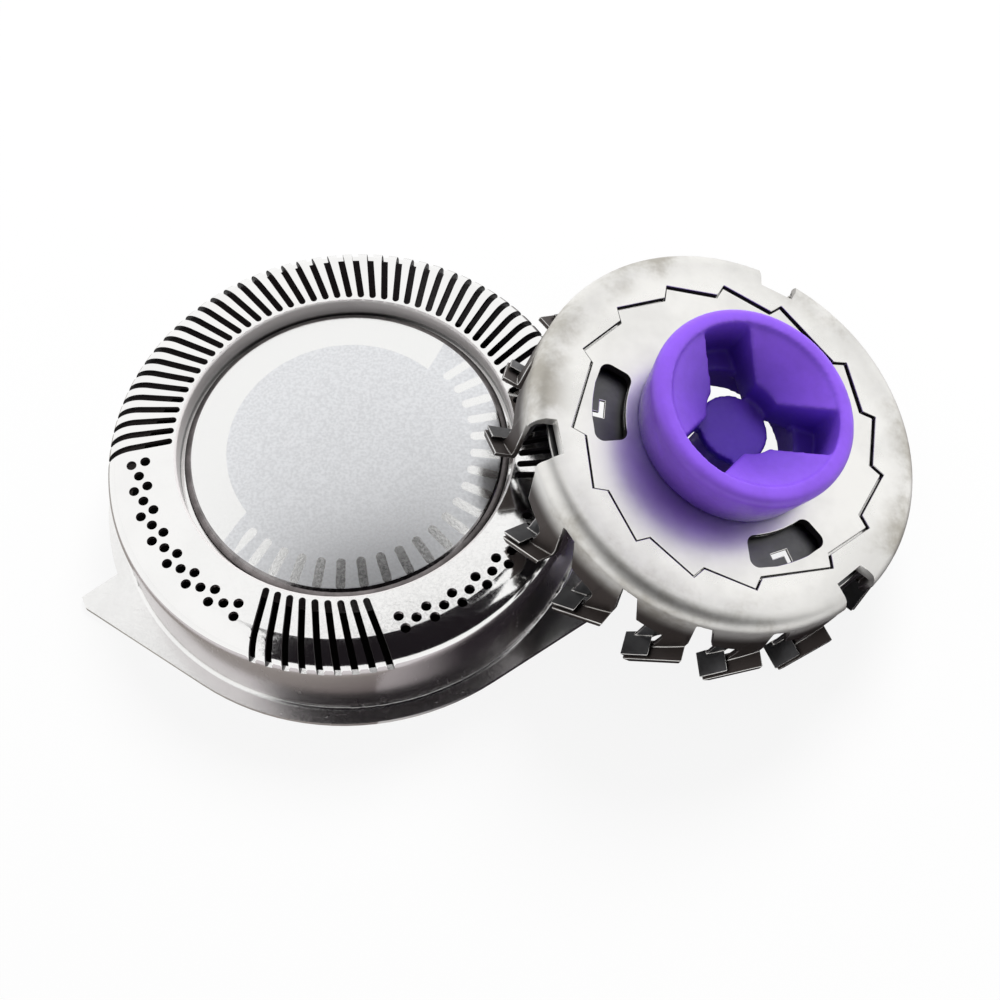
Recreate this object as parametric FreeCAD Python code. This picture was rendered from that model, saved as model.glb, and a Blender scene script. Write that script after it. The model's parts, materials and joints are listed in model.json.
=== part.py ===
import FreeCAD, Part
import math
import os

# A rotary shaver head, taken apart as it lies on a table: the slotted steel guard stands
# on its flange, and the ring of cutter blades lies beside it, drive side up, leaning on
# the guard's rim. Millimetres, +Z up. The origin is on the guard's axis at its underside.
# Angles are in degrees, anticlockwise seen from above.

os.makedirs("parts", exist_ok=True)
V = FreeCAD.Vector
UP = V(0, 0, 1)
ORIGIN = V(0, 0, 0)

# Guard: one deep-drawn steel cup
guard_radius = 12.0          # outside of the round wall
track_width = 3.62           # from the recess to the outside of the round wall
blade_room = 1.15            # from the ring of blades to the inside of the round wall
guard_height = 5.5           # underside of the flange to the slotted track
guard_sheet = 0.25
rim_round = 1.4              # rounded outer edge of the track
flange_reach = 0.85          # flange beyond the wall
flange_thickness = 0.3
flange_round = 0.2           # fillet between flange and wall
recess_depth = 1.2           # floor of the centre recess below the track
recess_edge_round = 0.12
floor_hole_radius = 3.0

# Two ears on the flange, mirrored about the -Y side
ear_reach = 2.05             # tips beyond the flange's edge
ear_start_angle = 34.0       # where the straight front edge leaves the flange
ear_tip_angle = 66.9
ear_tip_width = 2.5          # degrees
ear_back_slant = 2.3         # degrees

# Hair slots and holes in the track
front_angle = 264.6          # middle of the short slot group
slot_pitch = 4.0             # degrees
slot_width = 0.34
slot_skew = 10.4             # degrees off the radius
slot_margin = 0.2            # from the recess to the slot's inner end
slot_drop = 1.12             # how far a slot runs down the rounded edge
front_slots = 9
main_slots = 49
hole_radius = 0.25
hole_pitch = 8.0             # degrees
holes_in_row = 8
hole_group_angle = 50.7      # middle of a hole group from the front slots
hole_inset = 1.42            # outermost row, from the outside of the round wall
hole_row_step = 0.34         # from each of the three rows to the next
hole_row_shift = 0.4         # degrees between the two main rows

# Centre cap and the bearing pressed into it
cap_gap = 0.24               # round the cap's edge
cap_edge = 0.55              # thickness at the edge
cap_dome = 0.4               # how much higher the middle is
cap_edge_round = 0.12
cap_tube_gap = 0.05          # in the floor's hole
cap_tube_wall = 0.65
bearing_flange_reach = 1.4   # beyond the floor's hole
bearing_flange = 0.5
bearing_nose = 1.15          # below the bearing's flange
bearing_nose_wall = 0.95
bearing_bore_depth = 1.65
running_clearance = 0.05
press_gap = 0.02

# Cutter ring, measured in its own frame: drive side up, z = 0 on its top face
foot_flare = 0.7             # outer end of the cutting edges beyond the stems
stem_sheet = 0.25
shoulder_round = 0.8         # from the flat top into the stems
skirt_depth = 0.9            # the ring's turned-down edge, from which the stems hang
ring_thickness = 0.6
blades_in_group = 5
groups = 3
blade_pitch = 22.3           # degrees, inside a group
blade_offset = 17.4          # blade group's middle past the tooth group's middle
arm_lead = 2.1               # arm ahead of its middle, along the rim
arm_trail = 0.9              # and behind it, at the skirt
arm_slant = 0.65             # how far the leading edge slopes back on the way down
arm_neck = 0.06              # front of the neck that carries the foot
foot_lead = 0.9              # cutting edge ahead of the arm's middle
foot_tip_depth = 5.4         # cutting edges below the ring's top face, ground in one plane
foot_rise = 2.05
foot_drop = 0.4              # foot's root below the arm's leading lip
foot_run = 2.23              # along the rim, from tip to root
foot_sheet = 0.25
foot_overlap = 0.08          # foot inside the stems

# Sawtooth drive plate, sunk into the ring
tooth_radius = 7.92
tooth_root_radius = 7.32
tooth_flank_angle = 2.8      # degrees, the short flank
plate_gap = 0.13
plate_thickness = 0.25
plate_sink = 0.12            # plate top below the ring top
window_inner_radius = 5.27
window_width = 1.63
window_half_angle = 18.4
window_offset = 2.5
window_corner = 0.45
window_rim = 1.8             # from the windows to the ring's flat edge in the three wide gaps

# Coupling hub with its three-armed socket
hub_radius = 5.05            # at the top
hub_taper = 0.4              # how much smaller it is on the drive plate
hub_height = 3.05            # above the ring's top face
hub_brim = 0.55              # upright edge at the top
hub_edge_round = 0.45
spigot_radius = 3.6          # through the plates
spigot_wall = 0.5
socket_wall = 0.85           # between the socket and the hub's outside
socket_arm_width = 2.4
socket_turn = -4.0           # from the tooth groups
socket_floor = 0.35          # above the ring's top face
socket_floor_sheet = 0.5
pocket_radius = 1.9          # round pocket where the arms meet
land_rim_drop = 0.15         # lands start below the hub's top
land_drop = 1.3              # from the socket's edge down to the pocket
floor_slot_inner = 1.75      # through slots in the arms' floor
centre_pin_radius = 1.25
centre_pin_length = 4.0      # below the ring's top face

# Retaining ring under the plates
retainer_reach = 1.0
retainer_thickness = 0.45

# Lifter ring, nested inside the cutter ring
lifter_sheet = 0.15
lifter_float = 0.18          # travel along the cutter's axis
float_margin = 0.05
lifter_stem_gap = 0.2        # between the two rings of stems
lifter_bore_gap = 0.15
lifter_shoulder = 0.54
lifter_lead = 1.2            # arm ahead of its middle, along the rim
lifter_trail = 0.7
lifter_neck = 0.7            # front of the arm where it meets the foot
lifter_foot_gap = 0.07       # in front of the blade's foot, square to it
lifter_neck_gap = 0.1        # from the foot's end to the blade's neck
lifter_recess = 0.12         # lifter tips short of the cutting edges
lifter_foot_inset = 0.12     # from the blades' outer end
lifter_foot_overlap = 0.04   # foot inside the lifter stems
lifter_slot_width = 0.25
lifter_slot_length = 0.9
lifter_hook_length = 0.65

# How the cutter lies
rim_gap = 0.26               # cutting edges above the track where they pass the rim
contact_swing = 42.0         # degrees from the highest side to there
floor_gap = 0.02
lean_angle = -10.3           # direction in which the cutter leans down
rest_turn = 32.1             # turn of the cutter about its own axis
cutter_overlap = 3.86        # reach of the ring of blades over the guard, before it leans
cutter_angle = -4.6          # direction of the cutter from the guard

# Sizes that follow
flange_radius = guard_radius + flange_reach
ear_tip_radius = flange_radius + ear_reach
recess_radius = guard_radius - track_width
cap_radius = recess_radius - cap_gap
cap_tube_radius = floor_hole_radius - cap_tube_gap
floor_top = guard_height - recess_depth
floor_under = floor_top - guard_sheet
bearing_spigot_radius = cap_tube_radius - cap_tube_wall - press_gap
bearing_bore_radius = centre_pin_radius + running_clearance
plate_top = -plate_sink
plate_under = plate_top - plate_thickness
ring_under = -ring_thickness
lifter_top = ring_under - lifter_float - float_margin
lifter_under = lifter_top - lifter_sheet
retainer_top = lifter_under - float_margin
retainer_under = retainer_top - retainer_thickness
foot_radius = guard_radius - guard_sheet - blade_room
stem_radius = foot_radius - foot_flare
stem_inner = stem_radius - stem_sheet
arm_lip_depth = foot_tip_depth - foot_rise - foot_drop
window_outer_radius = window_inner_radius + window_width
wide_gap_radius = window_outer_radius + window_rim
hub_foot_radius = hub_radius - hub_taper
socket_radius = hub_radius - socket_wall
floor_slot_outer = spigot_radius - spigot_wall
cutter_reach = foot_radius - cutter_overlap
lifter_stem_radius = stem_inner - lifter_stem_gap
group_angle = 360.0 / groups
foot_slope = math.atan2(foot_rise, foot_run)
foot_inner = stem_inner - foot_overlap
through = 10.0               # longer than any hole is deep
past = 1.0                   # how far a cut runs past the face that it opens
tooth_groups = [90.0 + group_angle * i for i in range(groups)]


def polar(radius, angle, z=0.0):
    a = math.radians(angle)
    return V(radius * math.cos(a), radius * math.sin(a), z)


def turned(points):
    """Solid of revolution about Z from (radius, z) corners."""
    wire = Part.makePolygon([V(r, 0, z) for r, z in points + points[:1]])
    return Part.Face(wire).revolve(ORIGIN, UP, 360)


def tube(inner, outer, low, high):
    ring = Part.makeCylinder(outer, high - low, V(0, 0, low))
    if inner <= 0:
        return ring
    return ring.cut(Part.makeCylinder(inner, high - low, V(0, 0, low)))


def prism(points, low, high):
    """Upright prism over a plan outline."""
    wire = Part.makePolygon([V(p.x, p.y, low) for p in points + points[:1]])
    return Part.Face(wire).extrude(V(0, 0, high - low))


def rounded(shape, radius, places):
    """Round the circular edges at the given (radius, z) places."""
    picked = []
    for edge in shape.Edges:
        if edge.Degenerated or not isinstance(edge.Curve, Part.Circle):
            continue
        centre = edge.Curve.Center
        for r, z in places:
            if abs(edge.Curve.Radius - r) < 1e-4 and abs(centre.z - z) < 1e-4:
                picked.append(edge)
    return shape.makeFillet(radius, picked)


def about_axis(shape, angle):
    copy = shape.copy()
    copy.rotate(ORIGIN, UP, angle)
    return copy


# Guard

def guard_cup():
    """The drawn cup: flange, wall, track, centre recess and its floor."""
    top_under = guard_height - guard_sheet
    cup = turned([
        (flange_radius, 0),
        (flange_radius, flange_thickness),
        (guard_radius, flange_thickness),
        (guard_radius, guard_height),
        (recess_radius, guard_height),
        (recess_radius, floor_top),
        (floor_hole_radius, floor_top),
        (floor_hole_radius, floor_under),
        (recess_radius + guard_sheet, floor_under),
        (recess_radius + guard_sheet, top_under),
        (guard_radius - guard_sheet, top_under),
        (guard_radius - guard_sheet, 0),
    ])
    cup = rounded(cup, rim_round, [(guard_radius, guard_height)])
    cup = rounded(cup, rim_round - guard_sheet, [(guard_radius - guard_sheet, top_under)])
    cup = rounded(cup, recess_edge_round, [(recess_radius, guard_height)])
    return rounded(cup, flange_round, [(guard_radius, flange_thickness)])


def guard_ear(side):
    """One pointed ear; side is +1 on the right and -1 on the left."""
    axis_angle = 270.0
    inner = guard_radius
    start = ear_start_angle
    reach = start + math.degrees(math.acos(flange_radius / ear_tip_radius))
    tip = max(ear_tip_angle, reach + ear_tip_width)
    outline = [
        polar(inner, axis_angle + side * start),
        polar(flange_radius, axis_angle + side * start),
        polar(ear_tip_radius, axis_angle + side * reach),
        polar(ear_tip_radius, axis_angle + side * tip),
        polar(flange_radius, axis_angle + side * (tip + ear_back_slant)),
        polar(inner, axis_angle + side * (tip + ear_back_slant)),
    ]
    return prism(outline, 0, flange_thickness).cut(
        Part.makeCylinder(guard_radius - guard_sheet / 2, flange_thickness))


def slot_cutter():
    """A hair slot through the track, the rounded edge and the top of the wall."""
    start = recess_radius + slot_margin
    middle = (start + guard_radius) / 2
    length = guard_radius + flange_reach - start
    low = guard_height - slot_drop
    height = slot_drop + guard_sheet
    box = Part.makeBox(length, slot_width, height, V(start + slot_width / 2, -slot_width / 2, low))
    end = Part.makeCylinder(slot_width / 2, height, V(start + slot_width / 2, 0, low))
    slot = box.fuse(end).removeSplitter()
    slot.rotate(V(middle, 0, 0), UP, slot_skew)
    return slot


def slot_angles():
    front = [front_angle + slot_pitch * (i - (front_slots - 1) / 2) for i in range(front_slots)]
    back = front_angle + 180.0
    main = [back + slot_pitch * (i - (main_slots - 1) / 2) for i in range(main_slots)]
    return front + main


def hole_places():
    """Zigzag of holes on each side of the front slots."""
    places = []
    outer_row = guard_radius - hole_inset
    half = (holes_in_row - 1) / 2
    for side in (-1, 1):
        middle = front_angle + side * hole_group_angle
        for i in range(holes_in_row):
            angle = middle + hole_pitch * (i - half)
            places.append((outer_row, angle + hole_row_shift))
            places.append((outer_row - 2 * hole_row_step, angle - hole_row_shift))
        for i in range(holes_in_row - 1):
            places.append((outer_row - hole_row_step, middle + hole_pitch * (i - half + 0.5)))
    return places


def guard_shell():
    shell = guard_cup()
    shell = shell.fuse([guard_ear(-1), guard_ear(1)]).removeSplitter()
    slot = slot_cutter()
    cuts = [about_axis(slot, angle) for angle in slot_angles()]
    low = guard_height - 2 * guard_sheet
    for radius, angle in hole_places():
        cuts.append(Part.makeCylinder(hole_radius, 3 * guard_sheet, polar(radius, angle, low)))
    return shell.cut(cuts)


def centre_cap():
    """Domed disc with a tube that goes down through the guard's floor."""
    edge_top = floor_top + cap_edge
    crown = edge_top + cap_dome
    half = Part.makePolygon([
        V(0, 0, crown), V(0, 0, floor_top), V(cap_radius, 0, floor_top), V(cap_radius, 0, edge_top)])
    sphere = (cap_radius ** 2 + cap_dome ** 2) / (2 * cap_dome)
    mid_angle = math.asin(cap_radius / sphere) / 2
    mid = V(sphere * math.sin(mid_angle), 0, crown - sphere * (1 - math.cos(mid_angle)))
    arc = Part.Arc(V(cap_radius, 0, edge_top), mid, V(0, 0, crown)).toShape()
    cap = Part.Face(Part.Wire(half.Edges + [arc])).revolve(ORIGIN, UP, 360)
    cap = rounded(cap, cap_edge_round, [(cap_radius, edge_top)])
    inner = cap_tube_radius - cap_tube_wall
    cap = cap.fuse(tube(inner, cap_tube_radius, floor_under, floor_top)).removeSplitter()
    return cap.cut(Part.makeCylinder(inner, guard_sheet + cap_edge / 2, V(0, 0, floor_under)))


def centre_bearing():
    """Moulded bearing: spigot in the cap's tube, flange under the floor, nose with a bore."""
    flange_low = floor_under - bearing_flange
    nose_low = flange_low - bearing_nose
    body = tube(0, bearing_spigot_radius, floor_under, floor_top)
    flange = tube(0, floor_hole_radius + bearing_flange_reach, flange_low, floor_under)
    nose = tube(0, bearing_bore_radius + bearing_nose_wall, nose_low, flange_low)
    bore = Part.makeCylinder(bearing_bore_radius, bearing_bore_depth, V(0, 0, nose_low))
    return body.fuse([flange, nose]).removeSplitter().cut(bore)


# Cutter, in its own frame

def blade_angles():
    """Azimuth of each blade's cutting edge."""
    half = (blades_in_group - 1) / 2
    return [g + blade_offset + blade_pitch * (i - half)
            for g in tooth_groups for i in range(blades_in_group)]


def side_prism(points, inner, outer):
    """Prism along X between two radii, over an outline in (along the rim, z)."""
    wire = Part.makePolygon([V(inner, y, z) for y, z in points + points[:1]])
    return Part.Face(wire).extrude(V(outer - inner, 0, 0))


def arm_turn(radius):
    """Angle from a cutting edge to the middle of its arm."""
    return math.degrees(math.asin(foot_lead / radius))


def foot_line(y, above=0.0):
    """Height of the foot's upper face at y, or of a line that lies above it by a distance."""
    return -foot_tip_depth + (y + foot_lead) * math.tan(foot_slope) + above / math.cos(foot_slope)


def foot_bar(tip_z, under, sheet, end_y, inner, outer):
    """Slanted foot whose tip is ground flat at tip_z; its underside lies at a distance
    above the blade's upper face line, negative for below."""
    slope = math.tan(foot_slope)
    over = under + sheet
    outline = [
        ((tip_z - foot_line(0, over)) / slope, tip_z),
        (end_y, foot_line(end_y, over)),
        (end_y, foot_line(end_y, under)),
        ((tip_z - foot_line(0, under)) / slope, tip_z),
    ]
    return side_prism(outline, inner, outer)


def stem_wall(flat, radius, sheet, shoulder, top, thickness, low):
    """Flat top, shoulder and wall, turned about the axis; the flat starts at a radius."""
    inner = radius - sheet
    wall = turned([
        (flat, top),
        (radius, top),
        (radius, low),
        (inner, low),
        (inner, top - thickness),
        (flat, top - thickness),
    ])
    wall = rounded(wall, shoulder, [(radius, top)])
    return rounded(wall, shoulder - max(sheet, thickness), [(inner, top - thickness)])


def blade_arm():
    """One C-shaped arm with its middle on +X: a stem, a notch and a slanted foot."""
    root_y = foot_run - foot_lead
    notch = foot_line(arm_neck)
    outline = [
        (-arm_lead, ring_thickness),
        (-arm_lead, -arm_lip_depth / 3),
        (-arm_lead + arm_slant, -arm_lip_depth + foot_sheet),
        (-arm_neck, -arm_lip_depth),
        (2 * arm_neck, -arm_lip_depth - foot_sheet),
        (2 * arm_neck, (notch - arm_lip_depth) / 2),
        (arm_neck, notch),
        (arm_neck, notch - foot_sheet),
        (root_y, foot_line(root_y) - foot_sheet / 2),
        (root_y, -arm_lip_depth),
        (arm_trail, -arm_lip_depth / 3),
        (arm_trail, ring_thickness),
    ]
    flat = stem_radius - 2 * shoulder_round
    wall = stem_wall(flat, stem_radius, stem_sheet, shoulder_round, 0, ring_thickness, -foot_tip_depth)
    stem = wall.common(side_prism(outline, flat, stem_radius + stem_sheet))
    foot = foot_bar(-foot_tip_depth, -foot_sheet, foot_sheet, root_y, foot_inner, foot_radius)
    return stem.fuse(foot)


def tooth_outline(gap, z_low, z_high):
    """Sawtooth disc: a short flank, then a long flank down to the next tooth."""
    points = []
    half = (blades_in_group - 1) / 2
    for g in sorted(tooth_groups):
        for i in range(blades_in_group):
            crest = g + blade_pitch * (i - half)
            points.append(polar(tooth_radius + gap, crest))
            points.append(polar(tooth_root_radius + gap, crest + tooth_flank_angle))
    return prism(points, z_low, z_high)


def window_cutter(z_low, z_high):
    """Three kidney-shaped windows with rounded corners."""
    windows = []
    half = math.radians(window_half_angle)
    for g in tooth_groups:
        middle = g + group_angle / 2 + window_offset
        sector = tube(window_inner_radius, window_outer_radius, z_low, z_high)
        reach = 2 * window_outer_radius
        spread = reach * math.tan(half)
        wedge = prism([V(0, 0, 0), V(reach, -spread, 0), V(reach, spread, 0)], z_low, z_high)
        window = sector.common(wedge)
        uprights = [e for e in window.Edges
                    if abs(e.Vertexes[0].Z - e.Vertexes[-1].Z) > (z_high - z_low) / 2]
        window = window.makeFillet(window_corner, uprights)
        windows.append(about_axis(window, middle))
    return windows


def wide_gap_flats():
    """Blocks that straighten the ring's edge in the three wide gaps between the groups."""
    flats = []
    spread = blade_pitch * (blades_in_group - 1) / 2
    ahead = math.degrees(arm_lead / stem_radius)
    behind = math.degrees(arm_trail / stem_radius)
    for g in tooth_groups:
        middle = g + blade_offset + arm_turn(stem_radius)
        start = middle + spread + behind
        end = middle + group_angle - spread - ahead
        half = wide_gap_radius * math.radians(end - start) / 2
        box = Part.makeBox(stem_radius, 2 * half, through, V(wide_gap_radius, -half, -through / 2))
        flats.append(about_axis(box, (start + end) / 2))
    return flats


def cutter_ring():
    """Ring with a turned-down edge, its sawtooth seat, three windows and the groups of arms."""
    bore = spigot_radius + press_gap
    ring = stem_wall(bore, stem_radius, stem_sheet, shoulder_round, 0, ring_thickness, -skirt_depth)
    ring = ring.cut(wide_gap_flats())
    arm = blade_arm()
    turn = arm_turn(stem_radius)
    ring = ring.fuse([about_axis(arm, angle + turn) for angle in blade_angles()])
    seat = tooth_outline(plate_gap, plate_under, through)
    return ring.cut([seat] + window_cutter(ring_under - past, past)).removeSplitter()


def drive_plate():
    """Sawtooth plate that seats in the ring and carries the hub."""
    plate = tooth_outline(0, plate_under, plate_top)
    bore = Part.makeCylinder(spigot_radius + press_gap, through, V(0, 0, plate_under))
    return plate.cut([bore] + window_cutter(ring_under - past, past))


def socket_arms(outer, low, high):
    """Three radial bars, one for each arm of the socket, that end at a round wall."""
    wall = Part.makeCylinder(outer, high - low, V(0, 0, low))
    width = socket_arm_width
    bars = []
    for g in tooth_groups:
        bar = Part.makeBox(hub_radius, width, high - low, V(0, -width / 2, low))
        bars.append(about_axis(bar, g + socket_turn).common(wall))
    return bars


def hub_collar():
    """Collar that widens towards its rounded top, with the spigot below it."""
    side = hub_height - hub_brim
    collar = turned([
        (0, plate_top),
        (hub_foot_radius, plate_top),
        (hub_radius, side),
        (hub_radius, hub_height),
        (0, hub_height),
    ])
    collar = rounded(collar, hub_edge_round, [(hub_radius, hub_height)])
    return collar.fuse(tube(0, spigot_radius, retainer_under, plate_top))


def hub_socket():
    """Everything that is hollow in the hub: lands, pocket, arms and through slots."""
    rim = hub_height - land_rim_drop
    foot = rim - land_drop
    lands = turned([
        (0, foot),
        (pocket_radius, foot),
        (socket_radius, rim),
        (socket_radius, rim + past),
        (0, rim + past),
    ])
    pocket = Part.makeCylinder(pocket_radius, through, V(0, 0, socket_floor))
    floor_under = socket_floor - socket_floor_sheet
    below = tube(centre_pin_radius, spigot_radius - spigot_wall, retainer_under - past, floor_under)
    slot_ring = tube(floor_slot_inner, floor_slot_outer, floor_under - past, socket_floor + past)
    bars = socket_arms(socket_radius, floor_under - past, hub_height)
    slots = [bar.common(slot_ring) for bar in bars]
    return [lands, pocket, below] + socket_arms(socket_radius, socket_floor, hub_height) + slots


def coupling_hub():
    """Moulded hub: collar with a three-armed socket, spigot and centre pin."""
    hub = hub_collar().removeSplitter().cut(hub_socket())
    pin = tube(0, centre_pin_radius, -centre_pin_length, socket_floor)
    return hub.fuse(pin).removeSplitter()


def retaining_ring():
    """Push-on ring on the spigot that keeps the plates together."""
    return tube(spigot_radius + press_gap, spigot_radius + retainer_reach, retainer_under, retainer_top)


def lifter_arm():
    """Arm of the lifter ring, inside a blade's arm, with its foot in front of the blade's."""
    end_y = arm_neck - lifter_neck_gap
    tip_z = lifter_recess - foot_tip_depth
    middle = foot_line(-lifter_neck, lifter_foot_gap + lifter_sheet / 2)
    outline = [
        (-lifter_lead, 0),
        (-lifter_lead, -arm_lip_depth / 2),
        (-lifter_neck, -arm_lip_depth),
        (-lifter_neck, middle),
        (end_y, foot_line(end_y, lifter_foot_gap + lifter_sheet / 2)),
        (lifter_trail, -arm_lip_depth),
        (lifter_trail, 0),
    ]
    flat = lifter_stem_radius - 2 * lifter_shoulder
    wall = stem_wall(flat, lifter_stem_radius, lifter_sheet, lifter_shoulder, lifter_top, lifter_sheet,
                     tip_z)
    stem = wall.common(side_prism(outline, flat, stem_radius))
    foot = foot_bar(tip_z, lifter_foot_gap, lifter_sheet, end_y,
                    lifter_stem_radius - lifter_sheet - lifter_foot_overlap, foot_radius - lifter_foot_inset)
    return stem.fuse(foot)


def lifter_slots():
    """Hook-shaped slots that free a spring tongue behind each window."""
    slots = []
    radius = (window_inner_radius + window_outer_radius) / 2
    low = lifter_under - past
    for g in tooth_groups:
        leg = Part.makeBox(lifter_slot_width, lifter_slot_length, 2 * past,
                           V(radius, -lifter_slot_length / 2, low))
        hook = Part.makeBox(lifter_hook_length, lifter_slot_width, 2 * past,
                            V(radius, lifter_slot_length / 2 - lifter_slot_width, low))
        middle = g + group_angle / 2 + window_offset
        slots += [about_axis(leg, middle), about_axis(hook, middle)]
    return slots


def lifter_ring():
    """Thin sprung plate with one lifter in front of each blade."""
    edge = lifter_stem_radius - lifter_shoulder
    plate = tube(spigot_radius + lifter_bore_gap, edge, lifter_under, lifter_top)
    arm = lifter_arm()
    turn = arm_turn(stem_radius)
    plate = plate.fuse([about_axis(arm, angle + turn) for angle in blade_angles()])
    return plate.cut(lifter_slots()).removeSplitter()


def cutter_placement():
    """Lean the cutter so that it rests on the floor and clears the guard's rim."""
    rise = guard_height + rim_gap - floor_gap
    swing = math.cos(math.radians(contact_swing))
    lean = math.asin(rise / (foot_radius + foot_inner * swing))
    height = foot_radius * math.sin(lean) + foot_tip_depth * math.cos(lean) + floor_gap
    spot = polar(guard_radius + cutter_reach, cutter_angle, height)
    turn = FreeCAD.Rotation(UP, rest_turn)
    tilt = FreeCAD.Rotation(V(0, 1, 0), math.degrees(lean))
    point = FreeCAD.Rotation(UP, lean_angle)
    return FreeCAD.Placement(spot, point * tilt * turn)


def main():
    guard_parts = {
        "guard_shell": guard_shell(),
        "centre_cap": centre_cap(),
        "centre_bearing": centre_bearing(),
    }
    cutter_parts = {
        "cutter_ring": cutter_ring(),
        "drive_plate": drive_plate(),
        "coupling_hub": coupling_hub(),
        "retaining_ring": retaining_ring(),
        "lifter_ring": lifter_ring(),
    }
    placement = cutter_placement()
    for name, shape in cutter_parts.items():
        shape.Placement = placement.multiply(shape.Placement)
    for name, shape in {**guard_parts, **cutter_parts}.items():
        shape.exportStep("parts/" + name + ".step")
        solids = len(shape.Solids)
        print(f"{name}: {solids} solid, {shape.Volume:.2f} mm3, valid {shape.isValid()}")


main()
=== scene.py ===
import json
import math

import bmesh
import bpy
from bpy.props import FloatProperty, FloatVectorProperty, IntProperty, PointerProperty
from mathutils import Euler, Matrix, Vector

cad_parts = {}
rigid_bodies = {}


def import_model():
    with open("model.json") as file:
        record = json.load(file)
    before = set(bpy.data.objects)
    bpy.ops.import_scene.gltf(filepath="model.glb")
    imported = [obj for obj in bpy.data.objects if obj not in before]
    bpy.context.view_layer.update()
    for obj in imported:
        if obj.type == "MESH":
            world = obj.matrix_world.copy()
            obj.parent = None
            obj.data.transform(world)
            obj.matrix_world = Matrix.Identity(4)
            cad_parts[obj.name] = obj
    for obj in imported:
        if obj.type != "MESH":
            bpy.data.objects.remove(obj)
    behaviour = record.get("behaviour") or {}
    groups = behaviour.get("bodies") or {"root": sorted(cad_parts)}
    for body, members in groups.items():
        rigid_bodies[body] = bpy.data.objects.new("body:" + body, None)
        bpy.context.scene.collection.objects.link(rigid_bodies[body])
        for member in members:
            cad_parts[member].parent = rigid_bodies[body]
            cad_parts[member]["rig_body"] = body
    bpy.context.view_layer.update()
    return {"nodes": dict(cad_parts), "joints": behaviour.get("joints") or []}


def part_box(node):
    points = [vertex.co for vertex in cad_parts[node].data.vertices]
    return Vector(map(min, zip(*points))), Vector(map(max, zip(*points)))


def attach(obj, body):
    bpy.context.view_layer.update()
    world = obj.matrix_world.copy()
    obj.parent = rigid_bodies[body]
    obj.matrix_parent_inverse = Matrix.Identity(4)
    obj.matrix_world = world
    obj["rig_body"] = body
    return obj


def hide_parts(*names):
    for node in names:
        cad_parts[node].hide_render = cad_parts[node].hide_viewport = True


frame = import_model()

bl_info = {
    "name": "Rotary shaver head",
    "version": (1, 0, 0),
    "blender": (4, 5, 0),
    "location": "3D Viewport > Sidebar > Shaver Head",
    "description": "Builds the looks of a rotary shaver head: slotted guard, cap and cutter",
    "category": "Object",
}

MM = 0.001
TURN = 2 * math.pi
WELD = 0.001 * MM               # vertices closer than this are one

# The cutter turns about a line through this point
SPIN = next(joint for joint in frame["joints"] if joint["name"] == "cutter_spin")
CUTTER_CENTRE = Vector(SPIN["pos_m"])
CUTTER_AXIS = Vector(SPIN["axis"]).normalized()

# Cap: its box is from the frame, its section is the CAD cap's
CAP_LOW, CAP_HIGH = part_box("centre_cap")
CAP_RADIUS = CAP_HIGH[0]
CAP_RISE = 0.4 * MM             # of the dome
CAP_EDGE = 0.55 * MM            # thickness at the rim
CAP_STEEP = 0.985               # a face is the edge's, in painted shade, where its normal's height is less
TUBE_RADIUS = 2.95 * MM
TUBE_BORE = 2.3 * MM

# Guard: its outer wall, the flange and the round between them
WALL_RADIUS = 12.0 * MM
FLANGE_TOP = 0.3 * MM
FLANGE_ROUND = 0.2 * MM
FLANGE_ZONE = 1.0 * MM          # faces below this are the flange's
RECESS_REACH = 8.7 * MM         # the recess lies inside this radius
GAP_LOW = 0.3 * MM              # the gap round the cap: painted shade up to here, above the cap's foot
GAP_HIGH = 0.55 * MM            # and the steel's own colour from here
TRACK, INSIDE, RECESS, WALL, FLANGE = range(5)  # its finishes

# Cutter: radii of its rounded shoulder, heights on the blades, and the sawtooth seat in its top
SHOULDER_START = 7.8 * MM
SHOULDER_END = 9.3 * MM
BLADE_LIGHT = -0.8 * MM         # the blades have no painted shade above this height
BLADE_DARK = -2.2 * MM          # and full painted shade below this one
SEAT_DEPTH = 0.7 * MM
SEAT_REACH = 8.1 * MM
BROKEN_EDGE = 0.038 * MM        # narrow round on the steel's cut edges
BEARING_EDGE = 0.04 * MM

# The cap's margin: where it is polished and where it has dashes
MARGIN_INNER = 5.95 * MM
MARGIN_START = math.radians(50)  # polished from here, anticlockwise
MARGIN_END = math.radians(220)
MARGIN_SLANT = 40.0              # radians a metre that its ends lean
DASH_MIDDLE = 7.0 * MM
DASH_GAP = 0.1                   # radians left free beside the polished part
SOFT_LINE = 0.03 * MM            # half width of a soft line between two finishes
SOFT_TURN = 0.004                # the same in radians


# Sizes and colours that a user would change

class GuardSettings(bpy.types.PropertyGroup):
    steel: FloatVectorProperty(
        name="Steel", description="Colour of the polished guard",
        default=(0.93, 0.925, 0.915), subtype="COLOR", min=0, max=1)
    roughness: FloatProperty(
        name="Roughness", description="Blur of the polished steel's reflections",
        default=0.07, min=0, max=1, subtype="FACTOR")
    # Steel darkened to paint the outer wall's dark reflection
    wall_steel_dark_reflection: FloatVectorProperty(
        name="Wall steel and reflection", description="Colour of the outer wall and the flange",
        default=(0.62, 0.58, 0.59), subtype="COLOR", min=0, max=1)
    recess_steel: FloatVectorProperty(
        name="Recess steel", description="Colour of the wall round the cap",
        default=(0.92, 0.88, 0.875), subtype="COLOR", min=0, max=1)
    # Painted shade: near black on the slots' walls and the inside
    inner_painted_shade: FloatVectorProperty(
        name="Inner painted shade", description="Colour of the slots' walls and of the inside",
        default=(0.03, 0.028, 0.03), subtype="COLOR", min=0, max=1)


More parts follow.
